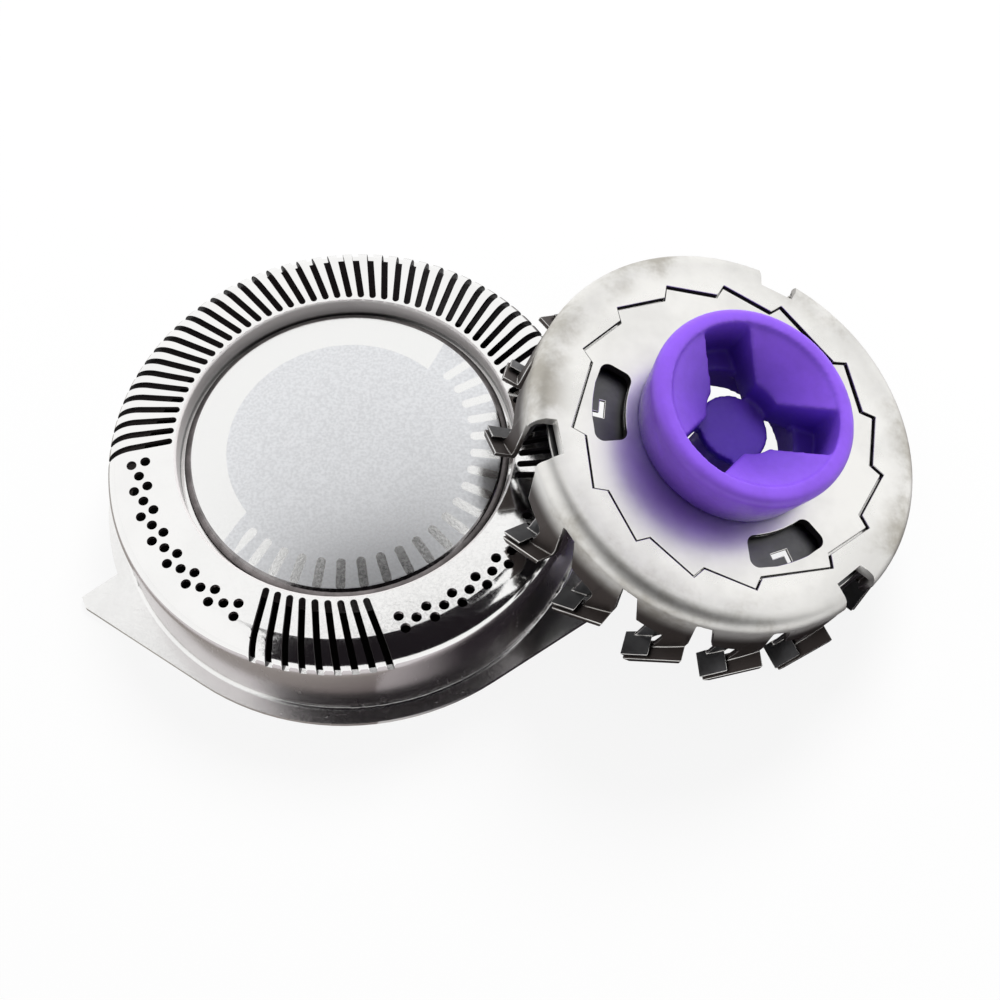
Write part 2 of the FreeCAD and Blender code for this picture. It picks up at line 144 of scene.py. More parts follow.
class CapSettings(bpy.types.PropertyGroup):
    satin: FloatVectorProperty(
        name="Satin", description="Colour of the cap's satin face",
        default=(0.85, 0.86, 0.88), subtype="COLOR", min=0, max=1)
    polished: FloatVectorProperty(
        name="Polished", description="Colour of the polished margin and dashes",
        default=(0.9, 0.9, 0.89), subtype="COLOR", min=0, max=1)
    dashes: IntProperty(
        name="Dashes", description="Dashes that a full turn of the margin would hold",
        default=42, min=1)
    dash_length: FloatProperty(
        name="Dash length", description="Length of a dash along the radius",
        default=1.6 * MM, unit="LENGTH")
    dash_width: FloatProperty(
        name="Dash width", description="Width of a dash across the radius",
        default=0.46 * MM, unit="LENGTH")
    edge_round: FloatProperty(
        name="Edge round", description="Radius of the cap's rounded edge",
        default=0.5 * MM, unit="LENGTH")


class CutterSettings(bpy.types.PropertyGroup):
    ring: FloatVectorProperty(
        name="Ring", description="Colour of the ring and the drive plate",
        default=(0.93, 0.92, 0.89), subtype="COLOR", min=0, max=1)
    # Colour of the smudges, which also paint the shade towards the ring's rounded edge
    smudge_and_shade: FloatVectorProperty(
        name="Smudge and shade", description="Colour of the dull patches on the ring",
        default=(0.42, 0.39, 0.33), subtype="COLOR", min=0, max=1)
    lifter: FloatVectorProperty(
        name="Lifter", description="Colour of the dark lifter ring",
        default=(0.16, 0.16, 0.165), subtype="COLOR", min=0, max=1)


class HubSettings(bpy.types.PropertyGroup):
    violet: FloatVectorProperty(
        name="Violet", description="Colour of the moulded hub",
        default=(0.33, 0.13, 1.0), subtype="COLOR", min=0, max=1)
    grid: FloatProperty(
        name="Grid", description="Size of the hub's even faces",
        default=0.1 * MM, unit="LENGTH")
    soft_rounds: IntProperty(
        name="Soft rounds", description="How often the hub is smoothed",
        default=6, min=0)


class StageSettings(bpy.types.PropertyGroup):
    key_power: FloatProperty(
        name="Key light", description="Power of the large lamp behind the object",
        default=0.6, min=0, unit="POWER")
    sky: FloatProperty(
        name="Sky", description="Level of the soft light from all round",
        default=0.42, min=0)
    floor: FloatVectorProperty(
        name="Floor", description="Colour of the floor",
        default=(0.95, 0.95, 0.95), subtype="COLOR", min=0, max=1)


# Mesh helpers

def cad_copy(name):
    """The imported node's surface, welded, with its flat faces whole."""
    bm = bmesh.new()
    bm.from_mesh(frame["nodes"][name].data)
    bmesh.ops.remove_doubles(bm, verts=bm.verts, dist=WELD)
    bmesh.ops.dissolve_limit(bm, angle_limit=math.radians(0.5), verts=bm.verts, edges=bm.edges)
    return bm


def break_edges(bm, width, sharp_angle=35.0):
    """Break the sharp edges with a narrow round and return its faces."""
    limit = math.radians(sharp_angle)
    roomy = {v for v in bm.verts if all(e.calc_length() > 2.2 * width for e in v.link_edges)}
    edges = [e for e in bm.edges if e.is_manifold and e.calc_face_angle(0) > limit
             and all(v in roomy for v in e.verts)]
    made = bmesh.ops.bevel(bm, geom=edges, offset=width, offset_type="OFFSET", segments=2,
                           profile=0.5, affect="EDGES", material=-1, clamp_overlap=False)
    return made["faces"]


def shade(bm, sharp_angle=32.0):
    """Smooth faces; an edge is sharp at more than the angle and round a flat top or bottom."""
    limit = math.radians(sharp_angle)
    for face in bm.faces:
        face.smooth = True
    for edge in bm.edges:
        flat = [f for f in edge.link_faces if abs(f.normal.z) > 0.99999]
        edge.smooth = edge.is_manifold and not flat and edge.calc_face_angle(0) < limit


def moulded(bm, grid, rounds):
    """The mesh rebuilt from small even faces and smoothed, so that each edge is soft."""
    bmesh.ops.scale(bm, vec=Vector((1, 1, 1)) / MM, verts=bm.verts)
    mesh = bpy.data.meshes.new("moulded")
    bm.to_mesh(mesh)
    bm.free()
    holder = bpy.data.objects.new("moulded", mesh)
    bpy.context.scene.collection.objects.link(holder)
    remesh = holder.modifiers.new("even faces", "REMESH")
    remesh.mode = "VOXEL"
    remesh.voxel_size = grid / MM
    smooth = holder.modifiers.new("soft edges", "SMOOTH")
    smooth.factor = 0.5
    smooth.iterations = rounds
    graph = bpy.context.evaluated_depsgraph_get()
    soft = bpy.data.meshes.new_from_object(holder.evaluated_get(graph))
    result = bmesh.new()
    result.from_mesh(soft)
    bpy.data.objects.remove(holder)
    bpy.data.meshes.remove(mesh)
    bpy.data.meshes.remove(soft)
    bmesh.ops.scale(result, vec=Vector((1, 1, 1)) * MM, verts=result.verts)
    return result


def turned(points, steps):
    """Solid of revolution about Z from (radius, z) points that start and end on the axis."""
    bm = bmesh.new()
    verts = [bm.verts.new((r, 0, z)) for r, z in points]
    edges = [bm.edges.new(pair) for pair in zip(verts, verts[1:])]
    bmesh.ops.spin(bm, geom=verts + edges, cent=(0, 0, 0), axis=(0, 0, 1), angle=TURN,
                   steps=steps, use_merge=True)
    bmesh.ops.remove_doubles(bm, verts=bm.verts, dist=WELD)
    bmesh.ops.recalc_face_normals(bm, faces=bm.faces)
    return bm


def new_piece(bm, name, node_name, materials, weighted=True):
    """Makes the mesh a piece that stands for a node and moves with its body."""
    mesh = bpy.data.meshes.new(name)
    bm.to_mesh(mesh)
    bm.free()
    piece = bpy.data.objects.new(name, mesh)
    bpy.context.scene.collection.objects.link(piece)
    for material in materials:
        mesh.materials.append(material)
    if weighted:
        even = piece.modifiers.new("even shading", "WEIGHTED_NORMAL")
        even.keep_sharp = True
    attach(piece, frame["nodes"][node_name]["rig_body"])
    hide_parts(node_name)
    return piece


# Node helpers

def node(tree, kind, inputs=(), **settings):
    """Adds a node, sets its properties and fills its inputs with values or links."""
    made = tree.nodes.new(kind)
    for key, value in settings.items():
        setattr(made, key, value)
    for key, value in dict(inputs).items():
        if isinstance(value, bpy.types.NodeSocket):
            tree.links.new(value, made.inputs[key])
        else:
            made.inputs[key].default_value = value
    return made


def maths(tree, operation, *values):
    return node(tree, "ShaderNodeMath", dict(enumerate(values)), operation=operation).outputs[0]


def vector_maths(tree, operation, *values, output="Vector"):
    made = node(tree, "ShaderNodeVectorMath", dict(enumerate(values)), operation=operation)
    return made.outputs[output]


def blend_colour(tree, factor, first, second):
    mix = node(tree, "ShaderNodeMix", {0: factor, 6: first, 7: second}, data_type="RGBA")
    return mix.outputs[2]


def ramp(tree, value, low, high, start=0.0, end=1.0):
    """Value mapped smoothly from low..high to start..end."""
    inputs = {"Value": value, "From Min": low, "From Max": high, "To Min": start, "To Max": end}
    made = node(tree, "ShaderNodeMapRange", inputs, interpolation_type="SMOOTHSTEP")
    return made.outputs["Result"]


def opaque(colour):
    return (*colour, 1.0)


def new_material(name):
    material = bpy.data.materials.new(name)
    material.use_nodes = True
    shader = material.node_tree.nodes["Principled BSDF"]
    return material, material.node_tree, shader


def new_group(name, inputs, outputs):
    """An empty node group with its sockets; returns it with its two ends."""
    group = bpy.data.node_groups.new(name, "ShaderNodeTree")
    for socket, value in inputs.items():
        made = group.interface.new_socket(socket, in_out="INPUT", socket_type="NodeSocketFloat")
        made.default_value = value
    for socket in outputs:
        group.interface.new_socket(socket, in_out="OUTPUT", socket_type="NodeSocketFloat")
    return group, group.nodes.new("NodeGroupInput"), group.nodes.new("NodeGroupOutput")


def mottling_group():
    """Soft patches, fine grain and hair scratches of pressed sheet, as three masks."""
    name = "Sheet mottling"
    if name in bpy.data.node_groups:
        return bpy.data.node_groups[name]
    inputs = {"Patch size": 400.0, "Grain size": 9000.0}
    group, start, end = new_group(name, inputs, ("Patches", "Grain", "Scratches"))
    place = object_place(group)
    patches = node(group, "ShaderNodeTexNoise",
                   {"Vector": place, "Scale": start.outputs[0], "Detail": 4.0, "Roughness": 0.62})
    grain = node(group, "ShaderNodeTexNoise",
                 {"Vector": place, "Scale": start.outputs[1], "Detail": 2.0, "Roughness": 0.5})
    stretched = node(group, "ShaderNodeMapping",
                     {"Vector": place, "Rotation": (0.0, 0.0, 0.6), "Scale": (1.0, 14.0, 1.0)})
    hairs = {"Vector": stretched.outputs[0], "Scale": 600.0, "Detail": 3.0, "Roughness": 0.7}
    scratches = node(group, "ShaderNodeTexNoise", hairs)
    group.links.new(ramp(group, patches.outputs["Fac"], 0.36, 0.66), end.inputs[0])
    group.links.new(ramp(group, grain.outputs["Fac"], 0.3, 0.7), end.inputs[1])
    group.links.new(ramp(group, scratches.outputs["Fac"], 0.62, 0.72), end.inputs[2])
    return group


def mottling(tree, patch_size, grain_size=9000.0):
    """Places the mottling in a material with its own sizes and returns its three masks."""
    made = tree.nodes.new("ShaderNodeGroup")
    made.node_tree = mottling_group()
    made.inputs["Patch size"].default_value = patch_size
    made.inputs["Grain size"].default_value = grain_size
    return made.outputs


def object_place(tree):
    return node(tree, "ShaderNodeTexCoord").outputs["Object"]


def bump(tree, height, distance, strength):
    inputs = {"Height": height, "Distance": distance, "Strength": strength}
    return node(tree, "ShaderNodeBump", inputs).outputs["Normal"]


def fill(tree, shader, **sockets):
    """Links or sets the shader's sockets, named with underscores for spaces."""
    for key, value in sockets.items():
        socket = shader.inputs[key.replace("_", " ")]
        if isinstance(value, bpy.types.NodeSocket):
            tree.links.new(value, socket)
        else:
            socket.default_value = value


def seen_directly(tree):
    """1 for rays of the camera, of reflections and through clear parts."""
    path = node(tree, "ShaderNodeLightPath").outputs
    beyond = maths(tree, "MAXIMUM", path["Is Glossy Ray"], path["Is Transmission Ray"])
    return maths(tree, "MAXIMUM", path["Is Camera Ray"], beyond)


# Materials

BLADE_SHADE_COLOUR = (0.1, 0.085, 0.08)  # painted shade on the cutter's stems and feet
DULL_SHOULDER = 0.22             # added roughness on the ring's rounded edge
# strength of the smudges and painted shade on the ring's edge
SMUDGE_AND_SHADE_SHARE = 0.75
GAP_PAINTED_SHADE = (0.02, 0.018, 0.018)  # painted shade in the gap round the cap


def steel_material(name, colour, tint, roughness, spread=0.06, patch_size=300.0, smudge_and_shade=None):
    """Steel with soft patches of tint, fine grain and hair scratches; given an edge colour, it adds
    smudges and painted shade towards the ring's edge and painted shade down the blades.
    """
    material, tree, shader = new_material(name)
    patches, grain, scratches = mottling(tree, patch_size)
    base = blend_colour(tree, patches, opaque(colour), opaque(tint))
    blur = maths(tree, "MULTIPLY_ADD", grain, spread, roughness)
    if smudge_and_shade:
        # Smudges with painted shade towards the ring's edge, then painted shade down the blades
        base = blend_colour(tree, edge_smudges_and_shade(tree), base, opaque(smudge_and_shade))
        base = blend_colour(tree, blade_painted_shade(tree), base, opaque(BLADE_SHADE_COLOUR))
        blur = maths(tree, "MULTIPLY_ADD", shoulder(tree), DULL_SHOULDER, blur)
    blur = maths(tree, "MULTIPLY_ADD", scratches, spread, blur)
    normal = bump(tree, grain, 0.0008 * MM, 0.15)
    fill(tree, shader, Base_Color=base, Roughness=blur, Normal=normal, Metallic=1.0)
    return material


def recess_material(colour):
    """Dull light steel of the wall round the cap, with painted shade down in the gap."""
    material, tree, shader = new_material("recess steel")
    parts = node(tree, "ShaderNodeSeparateXYZ", {"Vector": object_place(tree)})
    foot = CAP_LOW[2]
    open_part = ramp(tree, parts.outputs["Z"], foot + GAP_LOW, foot + GAP_HIGH)
    base = blend_colour(tree, open_part, opaque(GAP_PAINTED_SHADE), opaque(colour))
    fill(tree, shader, Base_Color=base, Roughness=0.35, Metallic=0.2)
    return material


def cutter_place(tree):
    """Height above the cutter's top face and distance from its axis."""
    arm = vector_maths(tree, "SUBTRACT", object_place(tree), CUTTER_CENTRE)
    height = vector_maths(tree, "DOT_PRODUCT", arm, CUTTER_AXIS, output="Value")
    across = vector_maths(tree, "CROSS_PRODUCT", arm, CUTTER_AXIS)
    return height, vector_maths(tree, "LENGTH", across, output="Value")


def blade_painted_shade(tree):
    """Mask of painted shade that rises from below the ring's shoulder down to the blades' feet."""
    height = cutter_place(tree)[0]
    return ramp(tree, height, BLADE_DARK, BLADE_LIGHT, 1.0, 0.0)


def shoulder(tree):
    """Mask that rises towards the ring's rounded edge."""
    radius = cutter_place(tree)[1]
    return ramp(tree, radius, SHOULDER_START, SHOULDER_END)


def edge_smudges_and_shade(tree):
    """Mask of smudges and painted shade, in patches that gather towards the ring's rounded edge."""
    noise = node(tree, "ShaderNodeTexNoise",
                 {"Vector": object_place(tree), "Scale": 230.0, "Detail": 5.0, "Roughness": 0.66})
    patches = ramp(tree, noise.outputs["Fac"], 0.43, 0.66)
    gathered = maths(tree, "MULTIPLY", shoulder(tree), patches)
    return maths(tree, "MULTIPLY", gathered, SMUDGE_AND_SHADE_SHARE)


def dark_material(name, colour, roughness, metallic=0.6):
    """Dark metal or moulding that shows little light: the bearing's own grey, and painted shade on
    the guard's inside, the seat's walls and the cap's edge.
    """
    material, tree, shader = new_material(name)
    masks = mottling(tree, 900.0)
    lighter = [min(1.0, 1.7 * c) for c in colour]
    base = blend_colour(tree, masks["Patches"], opaque(colour), opaque(lighter))
    blur = maths(tree, "MULTIPLY_ADD", masks["Grain"], 0.15, roughness)
    fill(tree, shader, Base_Color=base, Roughness=blur, Metallic=metallic)
    return material


def cap_material(settings):
    """Satin steel with a polished margin on one side and polished dashes on the other."""
    material, tree, shader = new_material("satin cap")
    grain = mottling(tree, 900.0, 7000.0)["Grain"]
    mask = polished_mask(tree, settings)
    darker = [0.88 * c for c in settings.satin]
    satin = blend_colour(tree, grain, opaque(settings.satin), opaque(darker))
    base = blend_colour(tree, mask, satin, opaque(settings.polished))
    blur = maths(tree, "MULTIPLY_ADD", grain, 0.05, 0.3)
    blur = maths(tree, "MULTIPLY_ADD", mask, -0.11, blur)
    normal = bump(tree, grain, 0.003 * MM, 0.35)
    fill(tree, shader, Base_Color=base, Roughness=blur, Normal=normal, Metallic=1.0)
    return material


def polished_mask(tree, settings):
    """1 on the polished margin and on the dashes, 0 on the satin."""
    parts = node(tree, "ShaderNodeSeparateXYZ", {"Vector": object_place(tree)})
    x, y = parts.outputs["X"], parts.outputs["Y"]
    squares = maths(tree, "MULTIPLY_ADD", x, x, maths(tree, "MULTIPLY", y, y))
    radius = maths(tree, "SQRT", squares)
    plain = maths(tree, "ARCTAN2", y, x)
    lean = maths(tree, "MULTIPLY", maths(tree, "SUBTRACT", radius, DASH_MIDDLE), MARGIN_SLANT)
    angle = maths(tree, "SUBTRACT", maths(tree, "WRAP", plain, TURN, 0.0), lean)

    after = ramp(tree, angle, MARGIN_START - SOFT_TURN, MARGIN_START + SOFT_TURN)
    before = ramp(tree, angle, MARGIN_END - SOFT_TURN, MARGIN_END + SOFT_TURN, 1.0, 0.0)
    outside = ramp(tree, radius, MARGIN_INNER - SOFT_LINE, MARGIN_INNER + SOFT_LINE)
    margin = maths(tree, "MULTIPLY", maths(tree, "MULTIPLY", after, before), outside)

    free_start = MARGIN_START - DASH_GAP
    free_end = MARGIN_END + DASH_GAP
    ahead = ramp(tree, angle, free_start, free_start + SOFT_TURN, 1.0, 0.0)
    behind = ramp(tree, angle, free_end - SOFT_TURN, free_end)
    clear = maths(tree, "MAXIMUM", ahead, behind)
    dashes = maths(tree, "MULTIPLY", dash_mask(tree, plain, radius, settings), clear)
    return maths(tree, "MAXIMUM", margin, dashes)


def dash_mask(tree, angle, radius, settings):
    """1 on a full turn of radial dashes with round ends."""
    count = maths(tree, "MULTIPLY", angle, settings.dashes / TURN)
    offset = maths(tree, "SUBTRACT", maths(tree, "FRACT", count), 0.5)
    turned_by = maths(tree, "MULTIPLY", offset, TURN / settings.dashes)
    across = maths(tree, "MULTIPLY", turned_by, radius)
    half_width = settings.dash_width / 2
    straight = settings.dash_length / 2 - half_width
    along = maths(tree, "ABSOLUTE", maths(tree, "SUBTRACT", radius, DASH_MIDDLE))
    over = maths(tree, "MAXIMUM", maths(tree, "SUBTRACT", along, straight), 0.0)
    square = maths(tree, "MULTIPLY_ADD", over, over, maths(tree, "MULTIPLY", across, across))
    reach = maths(tree, "SQRT", square)
    return ramp(tree, reach, half_width - SOFT_LINE, half_width + SOFT_LINE, 1.0, 0.0)


def hub_material(colour):
    """Violet moulding with a soft gloss, with painted shade deep in its hollow and at its foot."""
    material, tree, shader = new_material("violet moulding")
    masks = mottling(tree, 500.0, 5000.0)
    # Colour of the painted shade in the hollow and at the foot
    hollow = opaque([0.25 * colour[0], 0.22 * colour[1], 0.38 * colour[2]])
    base = blend_colour(tree, hub_unshaded_share(tree), hollow, opaque(colour))
    worn = blend_colour(tree, 0.12, base, opaque((0, 0, 0)))
    base = blend_colour(tree, masks["Patches"], base, worn)
    blur = maths(tree, "MULTIPLY_ADD", masks["Grain"], 0.1, 0.34)
    normal = bump(tree, masks["Grain"], 0.004 * MM, 0.2)
    fill(tree, shader, Base_Color=base, Roughness=blur, Normal=normal, Specular_IOR_Level=0.4)
    return material


def hub_unshaded_share(tree):
    """1 on the hub's rim and upper wall, falling to 0 deep in its hollow and at its foot, where
    shade is painted.
    """
    height, radius = cutter_place(tree)
    inside = ramp(tree, height, 0.5 * MM, 3.6 * MM)
    outside = ramp(tree, height, -0.4 * MM, 1.8 * MM, 0.05, 1.0)
    side = ramp(tree, radius, 4.1 * MM, 4.6 * MM)
    return node(tree, "ShaderNodeMix", {0: side, 2: inside, 3: outside}).outputs[0]


# Pieces

class GuardOperator(bpy.types.Operator):
    """Slotted guard: polished track, wall darkened to paint its dark reflection, painted shade on
    the slots and inside
    """
    bl_idname = "shaver.guard"
    bl_label = "Guard"

    def execute(self, context):
        settings = context.scene.shaver_guard
        bm = cad_copy("guard_shell")
        for face in bm.faces:
            face.material_index = guard_finish(face)
        shade(bm)
        steel = settings.steel
        # The wall's steel is darkened to paint its dark reflection
        wall = settings.wall_steel_dark_reflection
        finishes = [
            steel_material("polished steel", steel, [0.97 * c for c in steel], settings.roughness),
            dark_material("inner painted shade", settings.inner_painted_shade, 0.45),
            recess_material(settings.recess_steel),
            steel_material("wall steel and reflection", wall, wall, 0.2),
            steel_material("flange steel", steel, [0.95 * c for c in steel], 0.18),
        ]
        guard = new_piece(bm, "guard", "guard_shell", finishes,
                          weighted=False)
        even_round(guard.data)
        return {"FINISHED"}


def guard_finish(face):
    """The finish of a face of the guard, from its place and its normal."""
    middle = face.calc_center_median()
    low = middle.z < FLANGE_ZONE
    inner = middle.xy.length < RECESS_REACH
    outward = Vector((middle.x, middle.y, 0)).normalized()
    facing = face.normal.dot(outward)
    if face.normal.z < -0.35:
        return INSIDE
    if face.normal.z > 0.35:
        in_recess = inner and face.normal.z < 0.98
        return FLANGE if low else RECESS if in_recess else TRACK
    if inner:
        return RECESS if facing < -0.35 else INSIDE
    return FLANGE if low else WALL if facing > 0.5 else INSIDE


def even_round(mesh):
    """Exact normals on the round between the wall and the flange, so that it shines evenly."""
    normals = [Vector() for loop in mesh.loops]
    centre = Vector((WALL_RADIUS + FLANGE_ROUND, FLANGE_TOP + FLANGE_ROUND))
    near = 0.01 * MM
    for face in mesh.polygons:
        if face.normal.z < -0.1 or face.material_index == INSIDE:
            continue
        for index in face.loop_indices:
            place = mesh.vertices[mesh.loops[index].vertex_index].co
            radius = place.xy.length
            across = centre - Vector((radius, place.z))
            if all(-near < part < FLANGE_ROUND + near for part in across):
                across.normalize()
                outward = place.xy * (across.x / radius)
                normals[index] = Vector((outward.x, outward.y, across.y))
    mesh.normals_split_custom_set(normals)


class CutterOperator(bpy.types.Operator):
    """Ring with blades, drive plate, lifters and retaining ring"""
    bl_idname = "shaver.cutter"
    bl_label = "Cutter"

    def execute(self, context):
        settings = context.scene.shaver_cutter
        tint = [0.88 * c for c in settings.ring]
        dark_tint = [0.7 * c for c in settings.lifter]
        ring = steel_material("blade steel", settings.ring, tint, 0.26, spread=0.04,
                              patch_size=260.0, smudge_and_shade=settings.smudge_and_shade)
        # Plain steel for the broken edges' rounds, without the painted blade shade, so that they
        # show as light lines
        bright = steel_material("bright edge", (0.8, 0.79, 0.77), tint, 0.2)
        plate = steel_material("plate steel", settings.ring, tint, 0.3, spread=0.04,
                               patch_size=220.0)
        # Painted shade: near black on the walls of the sawtooth seat and the windows
        seat = dark_material("seat painted shade", (0.02, 0.018, 0.018), 0.5)
        lifter = steel_material("lifter steel", settings.lifter, dark_tint, 0.35)
        for name, slot, material in (
            ("cutter_ring", "blade_steel", ring),
            ("drive_plate", "plate_steel", plate),
            ("retaining_ring", "plate_steel", plate),
            ("lifter_ring", "lifter_steel", lifter),
        ):
            bm = cad_copy(name)
            for face in bm.faces:
                face.material_index = int(in_seat(face))
            for face in break_edges(bm, BROKEN_EDGE):
                face.material_index = 2
            shade(bm)
            new_piece(bm, name + "_finished", name, [material, seat, bright])
        return {"FINISHED"}


def in_seat(face):
    """True on the walls of the sawtooth seat and of the windows, which get painted shade."""
    place = face.calc_center_median() - CUTTER_CENTRE
    depth = -place.dot(CUTTER_AXIS)
    radius = (place + depth * CUTTER_AXIS).length
    upright = abs(face.normal.dot(CUTTER_AXIS)) < 0.3
    return upright and depth < SEAT_DEPTH and radius < SEAT_REACH


class HubOperator(bpy.types.Operator):
    """Moulded coupling hub with soft edges"""
    bl_idname = "shaver.hub"
    bl_label = "Hub"

    def execute(self, context):
        settings = context.scene.shaver_hub
        bm = moulded(cad_copy("coupling_hub"), settings.grid, settings.soft_rounds)
        shade(bm, sharp_angle=60)
        violet = hub_material(settings.violet)
        new_piece(bm, "hub", "coupling_hub", [violet], weighted=False)
        return {"FINISHED"}


class CapOperator(bpy.types.Operator):
    """Domed centre cap and the bearing below it"""
    bl_idname = "shaver.cap"
    bl_label = "Cap and bearing"

    def execute(self, context):
        settings = context.scene.shaver_cap
        bm = turned(cap_profile(settings.edge_round), steps=192)
        for face in bm.faces:
            above_foot = face.calc_center_median().z > CAP_LOW[2]
            face.material_index = int(above_foot and face.normal.z < CAP_STEEP)
        shade(bm, sharp_angle=40)
        # Painted shade: the cap's rounded edge is dark steel
        edge = dark_material("cap edge painted shade", (0.2, 0.19, 0.19), 0.05, metallic=1.0)
        new_piece(bm, "cap", "centre_cap", [cap_material(settings), edge])
        bm = cad_copy("centre_bearing")
        break_edges(bm, BEARING_EDGE)
        shade(bm)
        grey = dark_material("grey moulding", (0.2, 0.2, 0.21), 0.5, metallic=0.0)
        new_piece(bm, "bearing", "centre_bearing", [grey])
        return {"FINISHED"}


def cap_profile(edge_round):
    """Half section of the cap: dome, rounded edge, underside and the tube's bore."""
    top = CAP_HIGH[2]
    foot = CAP_LOW[2]
    under = top - CAP_RISE - CAP_EDGE
    bore_top = under + CAP_EDGE / 2
    rings = 28
    arc_steps = 8
    inner = CAP_RADIUS - edge_round
    points = []
    for i in range(rings + 1):
        r = inner * i / rings
        points.append((r, top - CAP_RISE * (r / CAP_RADIUS) ** 3))
    low = points[-1][1] - edge_round
    for i in range(1, arc_steps + 1):
        a = math.radians(90 - 90 * i / arc_steps)
        points.append((inner + edge_round * math.cos(a), low + edge_round * math.sin(a)))
    points += [(CAP_RADIUS, under), (TUBE_RADIUS, under), (TUBE_RADIUS, foot)]
    return points + [(TUBE_BORE, foot), (TUBE_BORE, bore_top), (0, bore_top)]


# Stage

CAMERA_PLACE = (9.518 * MM, -43.652 * MM, 81.631 * MM)
CAMERA_TURN = (27.861, 1.498, -0.189)   # degrees
CAMERA_LENS = 63.92                     # mm
CAMERA_WIDTH = 36                       # mm, of the picture

KEY_PLACE = (60 * MM, 190 * MM, 210 * MM)
KEY_AIM = (12 * MM, 0, 4 * MM)
KEY_SIZE = 0.14

FLOOR_REACH = 2.0
FLOOR_WHITE = 0.85                      # share of plain white that the camera sees
CARD_HEIGHT = 0.4
CARD_CORNERS = (
    (-0.11, -0.01), (-0.19, -0.19), (-0.3, -0.42), (-0.63, -0.97), (-3.7, -6.0), (6.0, -6.0),
    (6.0, -2.5), (1.27, -0.6), (0.41, -0.27), (0.27, -0.1), (0.2, -0.02), (0.1, 0.03),
    (0.08, 0.07), (0.045, 0.13), (0.02, 0.18), (-0.02, 0.162), (-0.085, 0.13),
)
# Mats that glow, seen only in reflections, with a painted shadow as their dark spot: name, place,
# height, radius, the dark spot's middle and radius, its colour and the rim's
SHADOW_MATS = (
    ("guard_shadow_mat", (0, 0), 0.02 * MM, 17 * MM,
     (3 * MM, 1 * MM), 12.7 * MM, (0.14, 0.115, 0.118), (0.42, 0.4, 0.37)),
    ("cutter_shadow_mat", (18 * MM, -1.5 * MM), 0.03 * MM, 20 * MM,
     (18 * MM, -1.5 * MM), 14.5 * MM, (0.03, 0.025, 0.03), (0.5, 0.48, 0.48)),
)
UNLIT_RADIUS = 11.87 * MM               # its edge is hidden under the guard's wall
UNLIT_HEIGHT = 0.01 * MM


def stage_piece(bm, name, material):
    mesh = bpy.data.meshes.new(name)
    bm.to_mesh(mesh)
    bm.free()
    mesh.materials.append(material)
    made = bpy.data.objects.new(name, mesh)
    bpy.context.scene.collection.objects.link(made)
    return made


def flat_disc(centre, radius, z, sides):
    bm = bmesh.new()
    bmesh.ops.create_circle(bm, cap_ends=True, segments=sides, radius=radius)
    bmesh.ops.translate(bm, vec=(*centre, z), verts=bm.verts)
    return bm


def seen_in_gloss_only(made):
    made.visible_camera = False
    made.visible_diffuse = False
    made.visible_shadow = False
    made.visible_transmission = False


def card_material(name, colour):
    """Card that glows with one even colour."""
    material, tree = new_material(name)[:2]
    tree.nodes.clear()
    light = node(tree, "ShaderNodeEmission", {"Color": opaque(colour)})
    node(tree, "ShaderNodeOutputMaterial", {"Surface": light.outputs[0]})
    return material


def shadow_mat_material(name, colour, far_colour, centre, near, far):
    """Card whose glowing colour changes with the distance from a point, which paints a shadow round
    it.
    """
    material = card_material(name, colour)
    tree = material.node_tree
    light = tree.nodes["Emission"]
    flat = vector_maths(tree, "MULTIPLY", object_place(tree), (1, 1, 0))
    spot = vector_maths(tree, "SUBTRACT", flat, (*centre, 0))
    reach = vector_maths(tree, "LENGTH", spot, output="Value")
    change = ramp(tree, reach, near, far)
    shade = blend_colour(tree, change, opaque(colour), opaque(far_colour))
    tree.links.new(shade, light.inputs["Color"])
    return material


def matt_material(name, colour, roughness, specular):
    material, tree, shader = new_material(name)
    fill(tree, shader, Base_Color=opaque(colour), Roughness=roughness, Specular_IOR_Level=specular)
    return material


def make_floor(settings):
    """Pale floor that the camera sees as white with a faint shadow."""
    material = matt_material("pale floor", settings.floor, 0.9, 0.1)
    tree = material.node_tree
    white = node(tree, "ShaderNodeEmission", {"Color": opaque((1, 1, 1)), "Strength": 1.02})
    share = maths(tree, "MULTIPLY", seen_directly(tree), FLOOR_WHITE)
    matt = tree.nodes["Principled BSDF"].outputs[0]
    mix = node(tree, "ShaderNodeMixShader", {0: share, 1: matt, 2: white.outputs[0]})
    tree.links.new(mix.outputs[0], tree.nodes["Material Output"].inputs["Surface"])
    bm = bmesh.new()
    bmesh.ops.create_grid(bm, x_segments=1, y_segments=1, size=FLOOR_REACH)
    stage_piece(bm, "floor", material)


def make_cards():
    """What the polished metal reflects: a dark card above the camera and a glowing mat below each
    half, with a painted shadow under the object.
    """
    bm = bmesh.new()
    bm.faces.new([bm.verts.new((x, y, CARD_HEIGHT)) for x, y in CARD_CORNERS])
    cards = [stage_piece(bm, "dark_card", card_material("dark card", (0.012, 0.01, 0.012)))]
    for name, place, height, radius, spot, near, colour, far_colour in SHADOW_MATS:
        material = shadow_mat_material(name.replace("_", " "), colour, far_colour, spot, near, radius)
        cards.append(stage_piece(flat_disc(place, radius, height, 64), name, material))
    for card in cards:
        seen_in_gloss_only(card)


def make_unlit_floor():
    """Dark disc on the floor under the guard: painted shade where its hollow keeps the light out.
    """
    material = matt_material("unlit floor", (0.02, 0.018, 0.018), 1.0, 0.0)
    stage_piece(flat_disc((0, 0), UNLIT_RADIUS, UNLIT_HEIGHT, 180), "unlit_floor", material)


